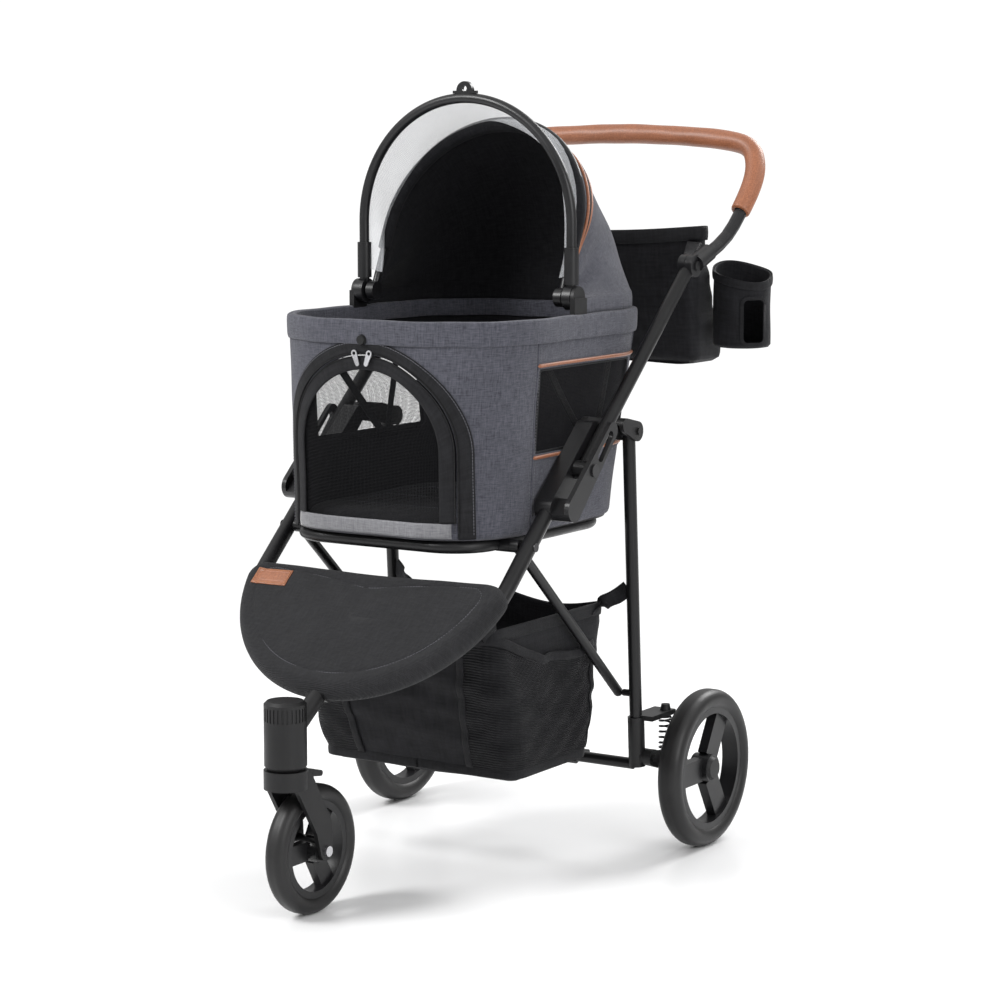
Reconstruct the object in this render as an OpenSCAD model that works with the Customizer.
// Three-wheeled pet stroller with a lift-off carrier and a folding frame.
// Millimetres. +Z is up, the front faces -Y, X = 0 is the middle of the frame,
// and the origin is on the ground at the middle of the footprint.

/* [Wheels] */
// Diameter of a rear tyre
rear_wheel_d = 227; // [200:1:250]
// Width of a rear tyre
rear_tyre_w = 36; // [30:1:42]
// Distance between the middles of the rear tyres
rear_track = 528; // [516:1:560]
// Diameter of the front tyre
front_wheel_d = 173; // [150:1:180]
// Width of the front tyre
front_tyre_w = 31; // [26:1:36]
// Rear axle to front axle, along the ground
wheelbase = 594; // [570:1:620]
// Radius of a rear stub axle
stub_axle_r = 5; // [4:0.5:6]
// Radius of the front axle bolt
front_axle_r = 4; // [3:0.5:5]

/* [Frame] */
// Half the distance between the middles of the main tubes
main_half_w = 198; // [196:1:204]
// Outer radius of the main tube
main_tube_r = 11; // [10:0.5:11.5]
// Wall of every frame tube
tube_wall = 1.5; // [1:0.1:2.5]
// Slope of the main tube above the ground, in degrees
main_slope = 42.5; // [40:0.5:45]
// Outer radius of the upper tubes and the handle tube
upper_tube_r = 9.5; // [8:0.5:10]
// Outer radius of the rear leg tubes
leg_tube_r = 9; // [8:0.5:10]
// Length of an upper tube from fold pin to handle knuckle
upper_tube_len = 392; // [360:1:420]
// Slope of an upper tube above the ground, in degrees
upper_slope = 42; // [39:0.2:44]
// Radius of the fold pins
fold_pin_r = 5; // [4:0.5:6]

/* [Handle] */
// Outer radius of the padded grip
grip_r = 14.5; // [13:0.5:17]
// Height of the grip's crossbar above the ground
handle_height = 1016; // [990:1:1040]

/* [Caster] */
// Radius of the round caster housing
caster_r = 28; // [26:1:32]
// Distance the front axle trails behind the steering axis
caster_trail = 53; // [46:1:56]
// Radius of the steering stem
stem_r = 8; // [7:0.5:10]

/* [Carrier] */
// Half width of the carrier at its rim
carrier_half_w = 190; // [180:1:192]
// Length of the carrier at its rim
carrier_len = 486; // [470:1:515]
// Height of the carrier's wall
carrier_h = 280; // [250:1:290]
// Thickness of the carrier's padded wall
carrier_wall = 5; // [4:0.5:7]

/* [Canopy] */
// Half width of the hoops at their pivots
hoop_half_w = 172; // [165:1:174]
// Straight rise of a hoop before it starts to curve
hoop_rise = 98; // [80:1:110]
// Radius of the hoop tube
hoop_tube_r = 7; // [6:0.5:8]
// Angle of the rear bow above the ground, in degrees
bow_angle = 66; // [60:1:70]

/* [Storage] */
// Inner radius of the cup pocket
cup_r = 40; // [36:0.5:41]
// Depth of the cup pocket
cup_depth = 120; // [100:1:130]
// Width of the rear organiser bag
bag_w = 390; // [360:1:404]

/* [Hidden] */
$fn = 48;

// Clearances and small shared sizes
run_gap = 0.05;      // radial gap of a running fit
side_gap = 0.5;      // gap between faces that slide past each other
lug_t = 6;           // thickness of a plain lug or cheek
bolt_r = 3;          // radius of a small bolt's shank

// The rear axle is the design's own zero, and the row frame's is at mid footprint.
front_end_y = -wheelbase - front_wheel_d / 2;
handle_bar_y = 216;
rear_end_y = handle_bar_y + grip_r;
mid_y = (front_end_y + rear_end_y) / 2;

rear_axle_z = rear_wheel_d / 2;
front_axle_z = front_wheel_d / 2;
wheel_x = rear_track / 2;

// Main tube: a U in a sloping plane. u runs up the slope, n is normal to it.
u_centre_y = -422;
u_centre_z = 428;
// Fold pin, on the main tube's line
fold_u = 209;
fold_y = u_centre_y + fold_u * cos(main_slope);
fold_z = u_centre_z + fold_u * sin(main_slope);
main_out_x = main_half_w + main_tube_r;
upper_x = main_out_x + 1.3 + upper_tube_r;
cheek_x = upper_x + upper_tube_r + 1.5;
cheek_t = 7;
housing_in_x = main_half_w - main_tube_r - 3;
cheek_back_u = 82;
cheek_front_u = -86;

// Handle knuckle at the top of the upper tubes
knuckle_y = fold_y + upper_tube_len * cos(upper_slope);
knuckle_z = fold_z + upper_tube_len * sin(upper_slope);

// Rear leg: pivot at its top, pin for the suspension arm at its foot
leg_x = main_half_w + 7;
leg_pivot_y = -120;
leg_pivot_z = 608;
leg_foot_y = -92;
leg_foot_z = 152;
arm_pin_y = -88;
arm_pin_z = 140;
arm_x = leg_x + leg_tube_r + 3 + side_gap + 7;
arm_half_t = 6;

// Brace link between the main tube and the rear leg
brace_r = 7;
brace_x = main_half_w - main_tube_r - side_gap * 3 - brace_r;
carrier_z0 = 485;
ring_eye_r = 9;
ring_pivot_u = (carrier_z0 - 0.7 - ring_eye_r - u_centre_z) / sin(main_slope);
ring_pivot_y = u_centre_y + ring_pivot_u * cos(main_slope);
ring_pivot_z = u_centre_z + ring_pivot_u * sin(main_slope);
brace_foot_y = -100;
brace_foot_z = 232;

// Caster: steering axis ahead of the front axle
steer_y = -wheelbase - caster_trail;
fork_top_z = 203;
housing_z0 = fork_top_z + 1;
housing_z1 = 264;
cap_z1 = 294;
front_hub_half = 20;

// Carrier: plan outlines at the floor and at the rim
carrier_z1 = carrier_z0 + carrier_h;
carrier_front_y = -466;
carrier_rear_y = carrier_front_y + carrier_len;
carrier_foot_half_w = carrier_half_w - 16;
carrier_foot_rear_y = carrier_rear_y - 62;
rim_corner_r = 140;
foot_corner_r = 110;

// Front door: an arch in the carrier's front
door_half_w = 128;
door_z0 = carrier_z0 + 24;
door_z1 = carrier_z1 - 36;
door_gap = 1.5;

// Canopy pivots
canopy_y = -221;
canopy_z = 797;
hoop_arc_r = hoop_half_w;
hoop_reach = hoop_rise + hoop_arc_r;
fabric_t = 3;

// Rear bag and cup pocket
bag_top_z = 884;
bag_bottom_z = 684;
cup_wall = 2.5;
cup_x = bag_w / 2 + cup_r + cup_wall + 1;
cup_y = 150;
cup_z0 = 708;

// ---- helpers -------------------------------------------------------------

module in_frame() {
    translate([0, -mid_y, 0]) children();
}

module mirrored_pair() {
    children();
    mirror([1, 0, 0]) children();
}

// A round bar from point a to point b
module bar(a, b, r) {
    v = b - a;
    translate(a) rotate([0, acos(v[2] / norm(v)), atan2(v[1], v[0])]) cylinder(h = norm(v), r = r);
}

// A cylinder along X between two X positions, at one point of the side view
module cross_pin(x0, x1, y, z, r) {
    translate([x0, y, z]) rotate([0, 90, 0]) cylinder(h = x1 - x0, r = r);
}

// The sloping plane of the main tube: X stays, Y becomes u, Z becomes n
module slope_plane() {
    translate([0, u_centre_y, u_centre_z]) rotate([main_slope, 0, 0]) children();
}

// A flat plate in the side view, drawn with Y and Z and extruded along X
module side_plate(x0, x1) {
    translate([x0, 0, 0]) rotate([90, 0, 90]) linear_extrude(x1 - x0) children();
}

// Plan outline of the carrier: a rectangle with round corners
module plan_outline(half_w, y0, y1, corner_r, inset) {
    r = corner_r - inset;
    x = half_w - corner_r;
    hull() {
        for (sx = [-1, 1]) {
            translate([sx * x, y0 + corner_r]) circle(r);
            translate([sx * x, y1 - corner_r]) circle(r);
        }
    }
}

// The carrier's tapered body, shrunk by an inset on every side
module carrier_body(inset, z0, z1) {
    rise = carrier_z1 - carrier_z0;
    function share(z) = (z - carrier_z0) / rise;
    hull() {
        for (z = [z0, z1]) {
            half_w = carrier_foot_half_w + (carrier_half_w - carrier_foot_half_w) * share(z);
            rear = carrier_foot_rear_y + (carrier_rear_y - carrier_foot_rear_y) * share(z);
            corner = foot_corner_r + (rim_corner_r - foot_corner_r) * share(z);
            front = carrier_front_y + 8 * (1 - share(z));
            translate([0, 0, z - 0.05]) linear_extrude(0.1) plan_outline(half_w, front, rear, corner, inset);
        }
    }
}

// The door's arch, drawn in X and Z, grown by a margin
module arch_outline(half_w, z0, z1, margin) {
    r = half_w + margin;
    spring_z = z1 - half_w;
    polygon(concat(
        [for (i = [0:32]) [0, spring_z] + r * direction(180 * i / 32)],
        [[-r, z0 - margin], [r, z0 - margin]]));
}

module door_prism(margin) {
    translate([0, carrier_front_y + 190, 0]) rotate([90, 0, 0]) linear_extrude(260)
        arch_outline(door_half_w, door_z0, door_z1, margin);
}

// A tyre about the X axis: round shoulders, a flat tread and a narrower foot
module tyre_ring(d, w, rim_r) {
    flat = w / 9;
    round_r = w / 2 - flat;
    rotate([0, 90, 0]) rotate_extrude() difference() {
        union() {
            for (side = [-1, 1]) translate([d / 2 - round_r, side * flat]) circle(round_r);
            translate([d / 2 - round_r, -flat]) square([round_r, 2 * flat]);
            translate([rim_r, -w * 0.36]) square([d / 2 - round_r - rim_r + 2, w * 0.72]);
        }
        translate([0, -w]) square([rim_r, 2 * w]);
    }
}

// A spoked rim: band, three broad spokes and a bored hub
module spoked_rim(outer_r, band_w, hub_r, hub_half, bore_r, spoke_w) {
    rotate([0, 90, 0]) difference() {
        union() {
            rotate_extrude() translate([outer_r - 9, -band_w / 2]) square([9, band_w]);
            translate([0, 0, -hub_half]) cylinder(h = 2 * hub_half, r = hub_r);
            for (turn = [0:120:240]) rotate([0, 0, turn + 30])
                translate([hub_r - 3, -spoke_w / 2, -band_w * 0.28])
                    cube([outer_r - hub_r - 3, spoke_w, band_w * 0.56]);
        }
        translate([0, 0, -hub_half - 1]) cylinder(h = 2 * hub_half + 2, r = bore_r);
    }
}

// An arch tube in the XZ plane about the canopy pivot, from side to side
module arch_tube(half_w, rise, arc_r, r) {
    translate([0, 0, rise]) rotate([90, 0, 0]) rotate_extrude(angle = 180) translate([arc_r, 0]) circle(r);
    for (side = [-1, 1]) translate([side * half_w, 0, 0]) cylinder(h = rise, r = r);
}

module at_canopy(lean) {
    translate([0, canopy_y, canopy_z]) rotate([lean, 0, 0]) children();
}

// Outline of two circles joined by their outer tangents, as a plate's side view
module link_outline(a, ra, b, rb) {
    turn = atan2(b[1] - a[1], b[0] - a[0]);
    lean = acos((ra - rb) / norm(b - a));
    steps = 14;
    polygon(concat(
        [for (i = [0:steps]) a + ra * direction(turn + lean + (360 - 2 * lean) * i / steps)],
        [for (i = [0:steps]) b + rb * direction(turn - lean + 2 * lean * i / steps)]));
}

function direction(angle) = [cos(angle), sin(angle)];
function unit(v) = v / norm(v);
function mix(a, b, t) = a + (b - a) * t;

// A smooth path through points: one cubic stretch between each pair
function spline_point(p, i, t) =
    let (
        last = len(p) - 1,
        a = p[max(i - 1, 0)],
        b = p[i],
        c = p[min(i + 1, last)],
        d = p[min(i + 2, last)]
    ) b + 0.5 * t * (c - a + t * (2 * a - 5 * b + 4 * c - d + t * (3 * (b - c) + d - a)));
function spline(p, steps) = concat(
    [for (i = [0:len(p) - 2], k = [0:steps - 1]) spline_point(p, i, k / steps)], [p[len(p) - 1]]);

// One ring of a swept round tube; up is any direction off the path
function ring(path, i, r, up, sides) =
    let (
        last = len(path) - 1,
        along = unit(path[min(i + 1, last)] - path[max(i - 1, 0)]),
        e1 = unit(cross(along, up)),
        e2 = cross(e1, along)
    ) [for (k = [0:sides - 1]) path[i] + r * (cos(360 * k / sides) * e1 + sin(360 * k / sides) * e2)];

// A round tube swept along a path, with a bore through it
module swept_tube(path, r, bore_r, up, sides) {
    n = len(path);
    outer = [for (i = [0:n - 1]) each ring(path, i, r, up, sides)];
    inner = [for (i = [0:n - 1]) each ring(path, i, bore_r, up, sides)];
    base = n * sides;
    function o(i, k) = i * sides + k % sides;
    function q(i, k) = base + i * sides + k % sides;
    walls = [for (i = [0:n - 2], k = [0:sides - 1]) each [
        [o(i, k), o(i + 1, k), o(i + 1, k + 1), o(i, k + 1)],
        [q(i, k + 1), q(i + 1, k + 1), q(i + 1, k), q(i, k)]]];
    ends = [for (k = [0:sides - 1]) each [
        [q(0, k), o(0, k), o(0, k + 1), q(0, k + 1)],
        [q(n - 1, k + 1), o(n - 1, k + 1), o(n - 1, k), q(n - 1, k)]]];
    polyhedron(points = concat(outer, inner), faces = concat(walls, ends), convexity = 6);
}

// A thin sheet with thickness: two grids of points, joined at their edges
module thick_sheet(top, bottom, rows, cols) {
    n = rows * cols;
    function a(i, j) = i * cols + j;
    function b(i, j) = n + i * cols + j;
    faces = concat(
        [for (i = [0:rows - 2], j = [0:cols - 2]) each [
            [a(i, j), a(i, j + 1), a(i + 1, j)],
            [a(i, j + 1), a(i + 1, j + 1), a(i + 1, j)],
            [b(i, j), b(i + 1, j), b(i, j + 1)],
            [b(i, j + 1), b(i + 1, j), b(i + 1, j + 1)]]],
        [for (j = [0:cols - 2]) each [
            [a(0, j), b(0, j), b(0, j + 1), a(0, j + 1)],
            [a(rows - 1, j), a(rows - 1, j + 1), b(rows - 1, j + 1), b(rows - 1, j)]]],
        [for (i = [0:rows - 2]) each [
            [a(i, 0), a(i + 1, 0), b(i + 1, 0), b(i, 0)],
            [a(i, cols - 1), b(i, cols - 1), b(i + 1, cols - 1), a(i + 1, cols - 1)]]]);
    polyhedron(points = concat(top, bottom), faces = faces, convexity = 6);
}

// ---- front frame ---------------------------------------------------------

module u_bar(r, extra) {
    rotate_extrude(angle = 180, start = 180) translate([main_half_w, 0]) circle(r);
    for (side = [-1, 1]) translate([side * main_half_w, -0.01, 0]) rotate([-90, 0, 0])
        cylinder(h = fold_u - 30 + extra, r = r);
}

module front_u_tube() {
    color("#1d1d1f") in_frame() difference() {
        slope_plane() difference() {
            u_bar(main_tube_r, 0);
            u_bar(main_tube_r - tube_wall, 5);
        }
        cross_pin(-300, 300, ring_pivot_y, ring_pivot_z, bolt_r + 1);
    }
}

module caster_arm() {
    u_end = [0, u_centre_y - main_half_w * cos(main_slope), u_centre_z - main_half_w * sin(main_slope)];
    color("#232326") in_frame() difference() {
        union() {
            bar(u_end, [0, steer_y, 238], 12);
            cross_pin(-15, 15, u_end[1], u_end[2], main_tube_r + 4);
        }
        slope_plane() u_bar(main_tube_r, 0);
        translate([0, steer_y, 150]) cylinder(h = 200, r = caster_r);
    }
}

module caster_housing() {
    color("#1a1a1c") in_frame() translate([0, steer_y, 0]) difference() {
        union() {
            translate([0, 0, housing_z0]) cylinder(h = 5, r1 = caster_r - 3, r2 = caster_r);
            translate([0, 0, housing_z0 + 5]) cylinder(h = housing_z1 - housing_z0 - 5, r = caster_r);
        }
        translate([0, 0, housing_z0 - 1]) cylinder(h = 52, r = stem_r + run_gap);
    }
}

module caster_cap() {
    rib_count = 30;
    color("#141416") in_frame() translate([0, steer_y, housing_z1]) difference() {
        union() {
            cylinder(h = cap_z1 - housing_z1 - 4, r = caster_r);
            translate([0, 0, cap_z1 - housing_z1 - 4]) cylinder(h = 4, r1 = caster_r, r2 = caster_r - 4);
        }
        for (i = [0:rib_count - 1]) rotate([0, 0, i * 360 / rib_count])
            translate([caster_r - 1, -1.2, 4]) cube([4, 2.4, cap_z1 - housing_z1 - 12]);
    }
}

// Side view outlines of the housing, in the sloping plane
housing_a = [fold_u - 69, -1];
housing_b = [fold_u + 70, 3];

module hub_housings() {
    color("#202023") in_frame() slope_plane() mirrored_pair() difference() {
        union() {
            side_plate(cheek_x, cheek_x + cheek_t) link_outline(housing_a, 17, housing_b, 12);
            side_plate(housing_in_x, main_out_x + 0.5) link_outline(housing_a, 17, housing_b, 12);
            side_plate(main_out_x, cheek_x + 1) intersection() {
                link_outline(housing_a, 17, housing_b, 12);
                translate([fold_u - 86, -18]) square([30, 23]);
            }
        }
        side_plate(cheek_x - 1, cheek_x + cheek_t + 1)
            link_outline([fold_u + 24, 1], 7, [fold_u + 62, 3], 6);
        translate([main_half_w, -50, 0]) rotate([-90, 0, 0]) cylinder(h = fold_u + 20, r = main_tube_r);
        translate([0, fold_u, 0]) rotate([0, 90, 0]) cylinder(h = 300, r = fold_pin_r);
    }
}

module fold_pins() {
    color("silver") in_frame() mirrored_pair() {
        cross_pin(housing_in_x, cheek_x + cheek_t, fold_y, fold_z, fold_pin_r);
        cross_pin(cheek_x + cheek_t, cheek_x + cheek_t + 2.5, fold_y, fold_z, fold_pin_r + 4);
    }
}

bracket_root_y = -210;
bracket_root_z = 622;
module leg_brackets() {
    inner_x = leg_x - leg_tube_r - side_gap - 9;
    outer_x = leg_x + leg_tube_r + side_gap;
    root = [bracket_root_y, bracket_root_z];
    pivot = [leg_pivot_y, leg_pivot_z];
    color("#202023") in_frame() mirrored_pair() difference() {
        union() {
            side_plate(inner_x, inner_x + 9) link_outline(root, 13, pivot, 14);
            side_plate(outer_x, outer_x + lug_t) link_outline(pivot + [-32, 11], 10, pivot, 14);
            side_plate(inner_x + 8, outer_x + 1) intersection() {
                link_outline(pivot + [-32, 11], 10, pivot, 14);
                translate(pivot + [-44, 11.5]) square([60, 14]);
            }
            cross_pin(inner_x, outer_x + lug_t + 3, leg_pivot_y, leg_pivot_z, fold_pin_r);
        }
        slope_plane() side_plate(housing_in_x - 1, main_out_x + 0.5)
            link_outline(housing_a, 17, housing_b, 12);
    }
}

ring_bar_r = 8.5;
ring_z = carrier_z0 - ring_bar_r - 0.4;
ring_half_w = 148;
ring_front_y = -440;
ring_rear_y = -84;
ring_corner = 60;
module seat_ring() {
    color("#1a1a1c") in_frame() difference() {
        union() {
            for (corner = [[1, 1, 0], [-1, 1, 90], [-1, -1, 180], [1, -1, 270]])
                translate([corner[0] * (ring_half_w - ring_corner),
                           corner[1] > 0 ? ring_rear_y - ring_corner : ring_front_y + ring_corner, ring_z])
                    rotate([0, 0, corner[2]]) rotate_extrude(angle = 90) translate([ring_corner, 0]) circle(ring_bar_r);
            for (y = [ring_front_y, ring_rear_y])
                cross_pin(ring_corner - ring_half_w, ring_half_w - ring_corner, y, ring_z, ring_bar_r);
            for (side = [-1, 1])
                bar([side * ring_half_w, ring_front_y + ring_corner, ring_z],
                    [side * ring_half_w, ring_rear_y - ring_corner, ring_z], ring_bar_r);
            cross_pin(-ring_half_w, ring_half_w, (ring_front_y + ring_rear_y) / 2, ring_z, ring_bar_r - 1);
            mirrored_pair() cross_pin(ring_half_w, brace_x - brace_r - side_gap, ring_pivot_y, ring_pivot_z, ring_eye_r);
        }
        cross_pin(-300, 300, ring_pivot_y, ring_pivot_z, bolt_r + 1);
    }
}

module ring_bolts() {
    color("silver") in_frame() mirrored_pair() {
        cross_pin(ring_half_w + 3, main_out_x, ring_pivot_y, ring_pivot_z, bolt_r + 1);
        cross_pin(main_out_x, main_out_x + 0.8, ring_pivot_y, ring_pivot_z, bolt_r + 3);
    }
}

panel_r = main_half_w + 14;
panel_top_u = -8;
module front_panel() {
    color("#38383c") in_frame() difference() {
        slope_plane() difference() {
            intersection() {
                translate([0, 0, -15]) cylinder(h = 34, r = panel_r);
                translate([-300, -300, -40]) cube([600, 300 + panel_top_u, 80]);
            }
            u_bar(main_tube_r + 0.3, 0);
            translate([-17, -panel_r - 5, -40]) cube([34, 42, 57]);
        }
    }
}

module panel_label() {
    color("#b0674a") in_frame() slope_plane() translate([-176, panel_top_u - 20, 19])
        linear_extrude(1.2) polygon([[0, 0], [44, 0], [36, -20], [-8, -20]]);
}

// ---- caster --------------------------------------------------------------

fork_in_x = front_hub_half + side_gap;
crown_z0 = 178;
module caster_fork() {
    ear_y = steer_y + 38;
    color("#1a1a1c") in_frame() difference() {
        union() {
            translate([0, steer_y, crown_z0]) cylinder(h = fork_top_z - crown_z0, r = caster_r + 1);
            mirrored_pair() side_plate(fork_in_x, fork_in_x + lug_t) {
                link_outline([steer_y + 8, crown_z0 + 6], 18, [-wheelbase - 6, front_axle_z + 34], 17);
                link_outline([-wheelbase - 6, front_axle_z + 34], 17, [-wheelbase, front_axle_z], 13);
            }
            mirrored_pair() side_plate(10, 14) link_outline([steer_y + 20, 192], 8, [ear_y, 192], 6);
        }
        cross_pin(-40, 40, -wheelbase, front_axle_z, front_axle_r);
        cross_pin(-40, 40, ear_y, 192, 2);
    }
}

module caster_stem() {
    color("silver") in_frame() translate([0, steer_y, fork_top_z]) {
        cylinder(h = 46, r = stem_r);
    }
}

module swivel_lock_lever() {
    ear_y = steer_y + 38;
    color("#141416") in_frame() {
        side_plate(-9.7, 9.7) link_outline([ear_y, 192], 5, [ear_y + 26, 187], 4);
        cross_pin(-13.8, 13.8, ear_y, 192, 2 - run_gap);
    }
}

module front_axle() {
    head_x = fork_in_x + lug_t;
    color("silver") in_frame() {
        cross_pin(-head_x, head_x, -wheelbase, front_axle_z, front_axle_r);
        mirrored_pair() cross_pin(head_x, head_x + 4, -wheelbase, front_axle_z, 7);
    }
}

front_rim_r = front_wheel_d / 2 - 21.5;
bearing_r = 11;
bearing_w = 7;
module at_front_wheel() {
    in_frame() translate([0, -wheelbase, front_axle_z]) children();
}

module front_rim() {
    color("#1f1f22") at_front_wheel()
        spoked_rim(front_rim_r, front_tyre_w * 0.72, 17, front_hub_half, bearing_r, 26);
}

module front_tyre() {
    color("#2a2a2c") at_front_wheel() tyre_ring(front_wheel_d, front_tyre_w, front_rim_r);
}

module front_bearings() {
    color("silver") at_front_wheel() rotate([0, 90, 0]) for (z = [-front_hub_half, front_hub_half - bearing_w])
        translate([0, 0, z]) difference() {
            cylinder(h = bearing_w, r = bearing_r);
            translate([0, 0, -1]) cylinder(h = bearing_w + 2, r = front_axle_r + run_gap);
        }
}

// ---- upper frame and handle ------------------------------------------------

upper_dir = [0, cos(upper_slope), sin(upper_slope)];
knuckle_r = 16;
knuckle_in_x = upper_x - 11;
knuckle_out_x = upper_x + 11.5;

module upper_tubes() {
    from = [upper_x, fold_y, fold_z];
    color("#1d1d1f") in_frame() mirrored_pair() difference() {
        union() {
            bar(from + 6 * upper_dir, from + (upper_tube_len - 6) * upper_dir, upper_tube_r);
            cross_pin(main_out_x + 0.9, cheek_x - side_gap, fold_y, fold_z, 13);
        }
        bar(from + 20 * upper_dir, from + upper_tube_len * upper_dir, upper_tube_r - tube_wall);
        cross_pin(0, 300, fold_y, fold_z, fold_pin_r + run_gap);
        cross_pin(0, 300, knuckle_y, knuckle_z, knuckle_r);
    }
}

module handle_knuckles() {
    color("#17171a") in_frame() mirrored_pair() {
        cross_pin(knuckle_in_x, upper_x, knuckle_y, knuckle_z, knuckle_r);
        cross_pin(upper_x, knuckle_out_x - 5.2, knuckle_y, knuckle_z, 4);
    }
}

handle_route = [
    [upper_x + 6, knuckle_y, knuckle_z],
    [236, 105, 871],
    [243, 160, 934],
    [236, 190, 975],
    [214, 204, 999],
    [160, 210, 1009],
    [80, 214, 1014],
    [0, handle_bar_y, handle_height]];
function flip(p) = [-p[0], p[1], p[2]];
handle_path = concat(spline(handle_route, 4), [for (i = [4 * 7 - 1:-1:0]) flip(spline(handle_route, 4)[i])]);
handle_up = [0, -sin(44), cos(44)];

module handle_tube() {
    n = len(handle_path);
    color("#17171a") in_frame() {
        swept_tube([for (i = [2:n - 3]) handle_path[i]], upper_tube_r, upper_tube_r - tube_wall, handle_up, 16);
    }
}

module handle_grip() {
    n = len(handle_path);
    color("#a45c38") in_frame()
        swept_tube([for (i = [6:n - 7]) handle_path[i]], grip_r, upper_tube_r + 0.1, handle_up, 16);
}

module handle_sockets() {
    start = [upper_x + 6, knuckle_y, knuckle_z];
    toward = unit(handle_path[4] - handle_path[0]);
    color("#17171a") in_frame() mirrored_pair() difference() {
        union() {
            cross_pin(upper_x + side_gap, knuckle_out_x, knuckle_y, knuckle_z, knuckle_r);
            bar(start + 8 * toward, start + 42 * toward, upper_tube_r + 3);
        }
        translate([0, knuckle_y, knuckle_z]) rotate([0, 90, 0]) cylinder(h = knuckle_out_x - 2, r = 4 + run_gap);
        translate([knuckle_out_x - 5.2, knuckle_y, knuckle_z]) rotate([0, 90, 0]) cylinder(h = 9, r = 7 + run_gap);
        bar(start + 16 * toward, start + 60 * toward, upper_tube_r + 0.3);
        cross_pin(0, upper_x + side_gap, knuckle_y, knuckle_z, knuckle_r + 12);
    }
}

module button_at(side) {
    color("#0e0e10") in_frame() mirror([side < 0 ? 1 : 0, 0, 0])
        cross_pin(knuckle_out_x - 2.6, knuckle_out_x + 3, knuckle_y, knuckle_z, 7);
}

module handle_button_left() {
    button_at(-1);
}

module handle_button_right() {
    button_at(1);
}

module rear_bag() {
    half = bag_w / 2;
    color("#16161b") in_frame() difference() {
        side_plate(-half, half)
            polygon([[78, bag_top_z], [112, bag_top_z], [190, bag_bottom_z + 30],
                     [184, bag_bottom_z], [96, bag_bottom_z + 4]]);
        side_plate(3 - half, half - 3)
            polygon([[83, bag_top_z + 1], [108, bag_top_z + 1], [184, bag_bottom_z + 30],
                     [178, bag_bottom_z + 6], [101, bag_bottom_z + 9]]);
    }
}

module cup_pocket() {
    color("#17171c") in_frame() translate([cup_x, cup_y, cup_z0]) difference() {
        cylinder(h = cup_depth + cup_wall, r = cup_r + cup_wall);
        translate([0, 0, cup_wall]) cylinder(h = cup_depth + 1, r = cup_r);
    }
}

// ---- rear legs and suspension ----------------------------------------------

leg_top = [leg_x, leg_pivot_y, leg_pivot_z];
leg_foot = [leg_x, leg_foot_y, leg_foot_z];
leg_dir = unit(leg_foot - leg_top);

module rear_legs() {
    color("#1d1d1f") in_frame() mirrored_pair() difference() {
        union() {
            bar(leg_top + 4 * leg_dir, leg_foot, leg_tube_r);
            cross_pin(leg_x - leg_tube_r, leg_x + leg_tube_r, leg_pivot_y, leg_pivot_z, 10.5);
            cross_pin(brace_x + brace_r + 2, leg_x, brace_foot_y, brace_foot_z, 5);
        }
        bar(leg_top + 24 * leg_dir, leg_foot + leg_dir, leg_tube_r - tube_wall);
        cross_pin(0, 300, leg_pivot_y, leg_pivot_z, fold_pin_r + run_gap);
    }
}

spring_y = -44;
spring_z0 = 143;
spring_z1 = 194;
spring_r = 10;
module leg_sockets() {
    socket_top = leg_foot - 46 * leg_dir;
    color("#17171a") in_frame() mirrored_pair() difference() {
        union() {
            bar(socket_top, leg_foot + 26 * leg_dir, leg_tube_r + 3);
            cross_pin(leg_x, arm_x - arm_half_t - side_gap, arm_pin_y, arm_pin_z, 12);
            cross_pin(leg_x, arm_x + arm_half_t + 3, arm_pin_y, arm_pin_z, 5);
            translate([leg_x - 6, leg_foot_y - 6, spring_z1]) cube([arm_x - leg_x + 15, 68, 7]);
            translate([arm_x, spring_y, spring_z1 + 6.9]) cylinder(h = 9, r1 = 8, r2 = 6);
        }
        bar(leg_top, leg_foot, leg_tube_r);
        cross_pin(0, leg_x - 6, crossbar_y, crossbar_z, crossbar_r);
    }
}

crossbar_r = 8;
crossbar_y = leg_foot_y + 2;
crossbar_z = leg_foot_z - 24;
module rear_crossbar() {
    color("#1d1d1f") in_frame() difference() {
        cross_pin(6 - leg_x, leg_x - 6, crossbar_y, crossbar_z, crossbar_r);
        cross_pin(-leg_x, leg_x, crossbar_y, crossbar_z, crossbar_r - tube_wall);
    }
}

module brake_pedal() {
    pedal_x0 = 58;
    pedal_x1 = 104;
    color("#141416") in_frame() difference() {
        side_plate(pedal_x0, pedal_x1) {
            translate([crossbar_y, crossbar_z]) circle(crossbar_r + 3.5);
            translate([crossbar_y, crossbar_z - 5]) square([34, 8]);
            translate([crossbar_y + 34, crossbar_z - 1]) circle(4);
        }
        cross_pin(0, 300, crossbar_y, crossbar_z, crossbar_r + run_gap);
        for (x = [pedal_x0 + 7:8:pedal_x1 - 6]) translate([x, crossbar_y + 16, crossbar_z + 1.8])
            cube([3, 16, 4]);
    }
}

brace_top = [brace_x, ring_pivot_y, ring_pivot_z];
brace_foot = [brace_x, brace_foot_y, brace_foot_z];
module brace_links() {
    color("#1d1d1f") in_frame() mirrored_pair() difference() {
        union() {
            bar(brace_top, brace_foot, brace_r);
            cross_pin(brace_x - brace_r, brace_x + brace_r, ring_pivot_y, ring_pivot_z, ring_eye_r);
            translate(brace_foot) sphere(brace_r);
        }
        cross_pin(0, 300, ring_pivot_y, ring_pivot_z, bolt_r + 1 + run_gap);
    }
}

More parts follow.
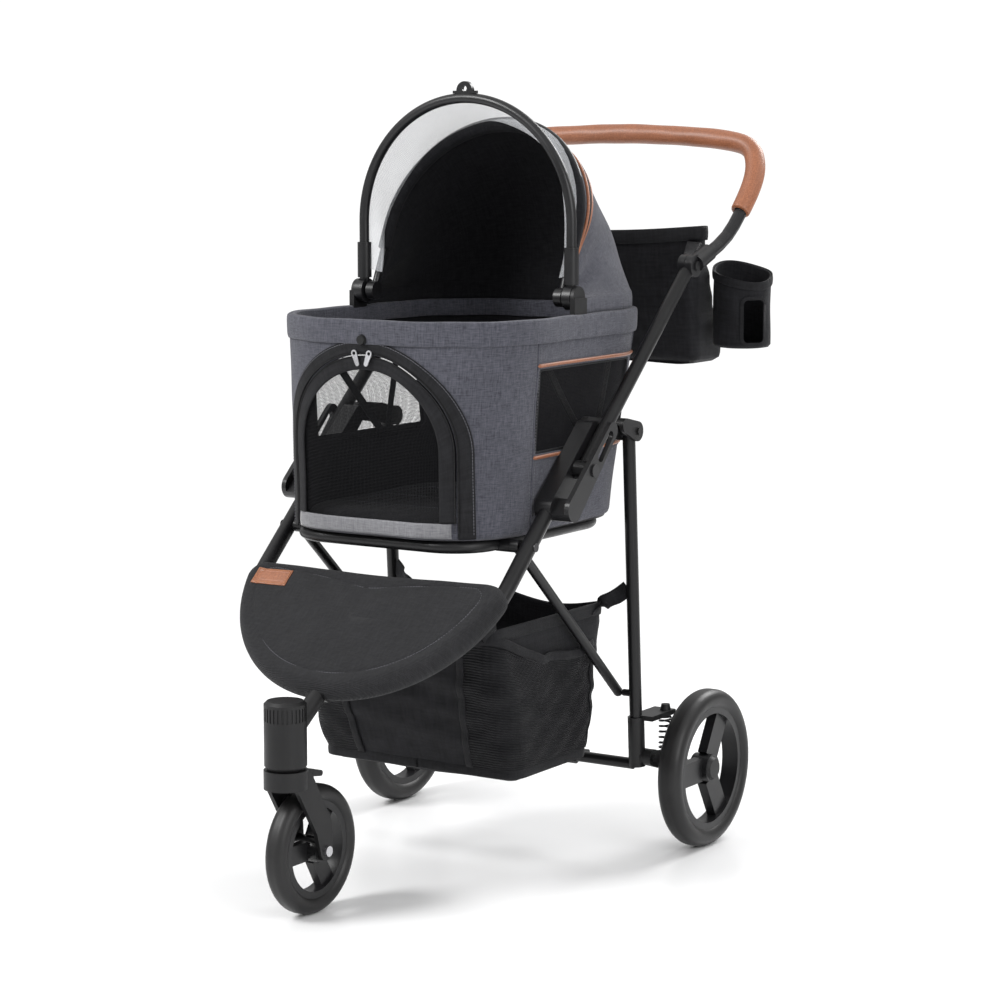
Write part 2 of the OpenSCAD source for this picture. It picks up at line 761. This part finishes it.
axle_end_x = wheel_x + 16;
module suspension_arm() {
    color("#17171a") in_frame() {
        difference() {
            side_plate(arm_x - arm_half_t, arm_x + arm_half_t) {
                link_outline([arm_pin_y, arm_pin_z], 12, [0, rear_axle_z], 13);
                translate([spring_y - 13, spring_z0 - 20]) square([26, 20]);
            }
            cross_pin(0, 300, arm_pin_y, arm_pin_z, 5 + run_gap);
        }
        cross_pin(arm_x + arm_half_t - 1, axle_end_x, 0, rear_axle_z, stub_axle_r);
        translate([arm_x - arm_half_t, -38, 88]) cube([2 * arm_half_t + 2, 24, 20]);
    }
}

module suspension_arm_right() {
    suspension_arm();
}

module suspension_arm_left() {
    mirror([1, 0, 0]) suspension_arm();
}

module spring_coil() {
    color("#3a3a3e") in_frame() translate([arm_x, spring_y, spring_z0]) difference() {
        cylinder(h = spring_z1 - spring_z0, r = spring_r);
        translate([0, 0, -1]) cylinder(h = spring_z1 - spring_z0 + 2, r = spring_r - 3.5);
    }
}

module spring_right() {
    spring_coil();
}

module spring_left() {
    mirror([1, 0, 0]) spring_coil();
}

rear_rim_r = rear_wheel_d / 2 - 25.5;
rear_hub_half = 14;
module at_rear_wheel(side) {
    mirror([side < 0 ? 1 : 0, 0, 0]) in_frame() translate([wheel_x, 0, rear_axle_z]) children();
}

module rear_rim(side) {
    color("#1f1f22") at_rear_wheel(side)
        spoked_rim(rear_rim_r, rear_tyre_w * 0.72, 20, rear_hub_half, stub_axle_r + run_gap, 34);
}

module rear_tyre(side) {
    color("#2a2a2c") at_rear_wheel(side) tyre_ring(rear_wheel_d, rear_tyre_w, rear_rim_r);
}

module hubcap(side) {
    color("#141416") at_rear_wheel(side) translate([rear_hub_half, 0, 0]) rotate([0, 90, 0]) difference() {
        cylinder(h = 4, r1 = 17, r2 = 14);
        translate([0, 0, -1]) cylinder(h = 3.5, r = stub_axle_r + 1);
    }
}

module rear_rim_left() {
    rear_rim(-1);
}

module rear_rim_right() {
    rear_rim(1);
}

module rear_tyre_left() {
    rear_tyre(-1);
}

module rear_tyre_right() {
    rear_tyre(1);
}

module hubcap_left() {
    hubcap(-1);
}

module hubcap_right() {
    hubcap(1);
}

// ---- storage -----------------------------------------------------------------

basket_half_w = brace_x - brace_r - 9;
module basket_solid(inset, lift) {
    hull() {
        translate([-basket_half_w + inset, -402 + inset, 362 + lift])
            cube([2 * (basket_half_w - inset), 292 - 2 * inset, 1]);
        translate([-basket_half_w + 14 + inset, -340 + inset, 142 + lift / 3])
            cube([2 * (basket_half_w - 14 - inset), 186 - 2 * inset, 1]);
    }
}

module storage_basket() {
    color("#101014") in_frame() difference() {
        basket_solid(0, 0);
        basket_solid(3, 9);
    }
}

module basket_pocket() {
    color("#131317") in_frame() mirrored_pair()
        side_plate(brace_x + brace_r + 1, brace_x + brace_r + 4)
            polygon([[-352, 356], [-128, 342], [-136, 152], [-320, 158]]);
}

// ---- carrier -------------------------------------------------------------------

module window_prism(margin) {
    translate([-300, -330 - margin, 592 - margin]) cube([600, 248 + 2 * margin, 118 + 2 * margin]);
}

module carrier_shell() {
    color("#5b5c66") in_frame() difference() {
        carrier_body(0, carrier_z0, carrier_z1);
        carrier_body(carrier_wall, carrier_z0 - 1, carrier_z1 + 1);
        door_prism(door_gap);
        window_prism(0);
    }
}

module door_panel() {
    color("#232327") in_frame() intersection() {
        difference() {
            carrier_body(0.5, carrier_z0, carrier_z1);
            carrier_body(carrier_wall - 1, carrier_z0 - 1, carrier_z1 + 1);
        }
        door_prism(0);
    }
}

module window_meshes() {
    color("#26262a") in_frame() intersection() {
        difference() {
            carrier_body(carrier_wall * 0.4, carrier_z0, carrier_z1);
            carrier_body(carrier_wall * 0.4 + 1.5, carrier_z0 - 1, carrier_z1 + 1);
        }
        window_prism(0);
    }
}

module carrier_rim() {
    color("#161618") in_frame() translate([0, 0, carrier_z1 + 0.05]) linear_extrude(6.95) difference() {
        plan_outline(carrier_half_w, carrier_front_y, carrier_rear_y, rim_corner_r, -2);
        plan_outline(carrier_half_w, carrier_front_y, carrier_rear_y, rim_corner_r, 7);
    }
}

floor_front_y = carrier_front_y + 8;
module carrier_floor() {
    color("#1b1b1e") in_frame() translate([0, 0, carrier_z0]) linear_extrude(8)
        plan_outline(carrier_foot_half_w, floor_front_y, carrier_foot_rear_y, foot_corner_r, carrier_wall + 0.4);
}

module carrier_mat() {
    color("#1c1c1f") in_frame() translate([0, 0, carrier_z0 + 8.2]) linear_extrude(15)
        plan_outline(carrier_foot_half_w, floor_front_y, carrier_foot_rear_y, foot_corner_r, carrier_wall + 5);
}

knob_z = carrier_z1 - 16;
module rim_knob() {
    color("#101012") in_frame() translate([0, carrier_front_y - 0.1, knob_z]) rotate([90, 0, 0]) {
        cylinder(h = 4, r = 4);
        translate([0, 0, 4]) cylinder(h = 5, r1 = 7.5, r2 = 6);
    }
}

bow_half_w = hoop_half_w - 16;
pivot_pin_r = 4;
module canopy_hubs() {
    base_x = hoop_half_w + hoop_tube_r + side_gap;
    color("#17171a") in_frame() mirrored_pair() {
        cross_pin(base_x, base_x + 5, canopy_y, canopy_z, 16);
        translate([base_x, canopy_y - 16, carrier_z1 + 7]) cube([8, 32, canopy_z - carrier_z1 - 7]);
        cross_pin(bow_half_w - 6, base_x, canopy_y, canopy_z, pivot_pin_r);
    }
}

module door_pulls() {
    color("silver") in_frame() mirrored_pair()
        translate([3, carrier_front_y - 5, door_z1 - 12]) rotate([90, 0, 0]) linear_extrude(1.6) difference() {
            link_outline([4, 0], 3, [9, 14], 4.5);
            translate([9, 14]) circle(2.4);
        }
}

// ---- canopy --------------------------------------------------------------------

module canopy_bow() {
    arc_r = bow_half_w;
    color("#141416") in_frame() at_canopy(bow_angle - 90) difference() {
        union() {
            arch_tube(bow_half_w, hoop_rise + 8, arc_r, hoop_tube_r - 2);
            for (side = [-1, 1]) cross_pin(side * bow_half_w - 6, side * bow_half_w + 6, 0, 0, 13);
        }
        cross_pin(-300, 300, 0, 0, pivot_pin_r + run_gap);
    }
}

module front_hoop() {
    color("#141416") in_frame() at_canopy(0) difference() {
        union() {
            arch_tube(hoop_half_w, hoop_rise, hoop_arc_r, hoop_tube_r);
            for (side = [-1, 1]) cross_pin(side * (hoop_half_w + 0.5) - 6.5, side * (hoop_half_w + 0.5) + 6.5, 0, 0, 17);
        }
        cross_pin(-300, 300, 0, 0, pivot_pin_r + run_gap);
    }
}

module hoop_sleeves() {
    color("#101012") in_frame() at_canopy(0) for (side = [-1, 1]) translate([side * hoop_half_w, 0, 18]) difference() {
        cylinder(h = 50, r = hoop_tube_r + 3);
        translate([0, 0, -1]) cylinder(h = 52, r = hoop_tube_r);
    }
}

module pull_tab() {
    color("#101012") in_frame() at_canopy(0) translate([0, 3, hoop_reach]) rotate([90, 0, 0])
        linear_extrude(6) difference() {
            union() {
                translate([-19, hoop_tube_r - 0.9]) square([38, 4]);
                translate([0, hoop_tube_r + 3]) circle(13);
            }
            translate([0, hoop_tube_r + 6]) circle(4);
            translate([-20, hoop_tube_r - 13]) square([40, 12.1]);
        }
}

// A point on the canopy's skin: turn runs side to side, lean runs rear to front
function bow_reach(turn) = hoop_rise * pow(sin(turn), 0.35) + 8 * sin(turn) + bow_half_w * sin(turn);
function rim_reach(turn) = (carrier_rear_y - canopy_y - 3) * pow(sin(turn), 0.45);
function skin_x(turn, half_w) = half_w * sign(cos(turn)) * pow(abs(cos(turn)), 0.75);
function skin_point(turn, lean, inset) =
    let (
        t = pow(max(0, (lean - 3) / (bow_angle - 3)), 0.6),
        reach = mix(rim_reach(turn), bow_reach(turn), t) - inset,
        half_w = mix(carrier_half_w - 13, bow_half_w, t) - inset
    ) [skin_x(turn, half_w), canopy_y + reach * cos(lean), canopy_z + reach * sin(lean)];

canopy_rows = 12;
canopy_cols = 25;
function canopy_grid(from_lean, to_lean, inset) = [
    for (i = [0:canopy_rows - 1], j = [0:canopy_cols - 1])
        skin_point(mix(12, 168, j / (canopy_cols - 1)), mix(from_lean, to_lean, i / (canopy_rows - 1)), inset)];

module canopy_fabric() {
    color("#5b5c66") in_frame() thick_sheet(
        canopy_grid(0, bow_angle - 4, -4), canopy_grid(0, bow_angle - 4, -1), canopy_rows, canopy_cols);
}

module mesh_screen() {
    color("#b9bcc2") in_frame() thick_sheet(
        canopy_grid(bow_angle + 4, 84, 2), canopy_grid(bow_angle + 4, 84, 4), canopy_rows, canopy_cols);
}

front_u_tube();
caster_arm();
caster_housing();
caster_cap();
hub_housings();
fold_pins();
leg_brackets();
seat_ring();
ring_bolts();
front_panel();
panel_label();
caster_fork();
caster_stem();
swivel_lock_lever();
front_axle();
front_rim();
front_tyre();
front_bearings();
upper_tubes();
handle_knuckles();
handle_tube();
handle_grip();
handle_sockets();
handle_button_left();
handle_button_right();
rear_bag();
cup_pocket();
rear_legs();
leg_sockets();
rear_crossbar();
brake_pedal();
brace_links();
suspension_arm_left();
suspension_arm_right();
spring_left();
spring_right();
rear_rim_left();
rear_rim_right();
rear_tyre_left();
rear_tyre_right();
hubcap_left();
hubcap_right();
storage_basket();
basket_pocket();
carrier_shell();
carrier_rim();
carrier_floor();
carrier_mat();
window_meshes();
rim_knob();
canopy_hubs();
door_panel();
door_pulls();
canopy_bow();
canopy_fabric();
front_hoop();
hoop_sleeves();
mesh_screen();
pull_tab();
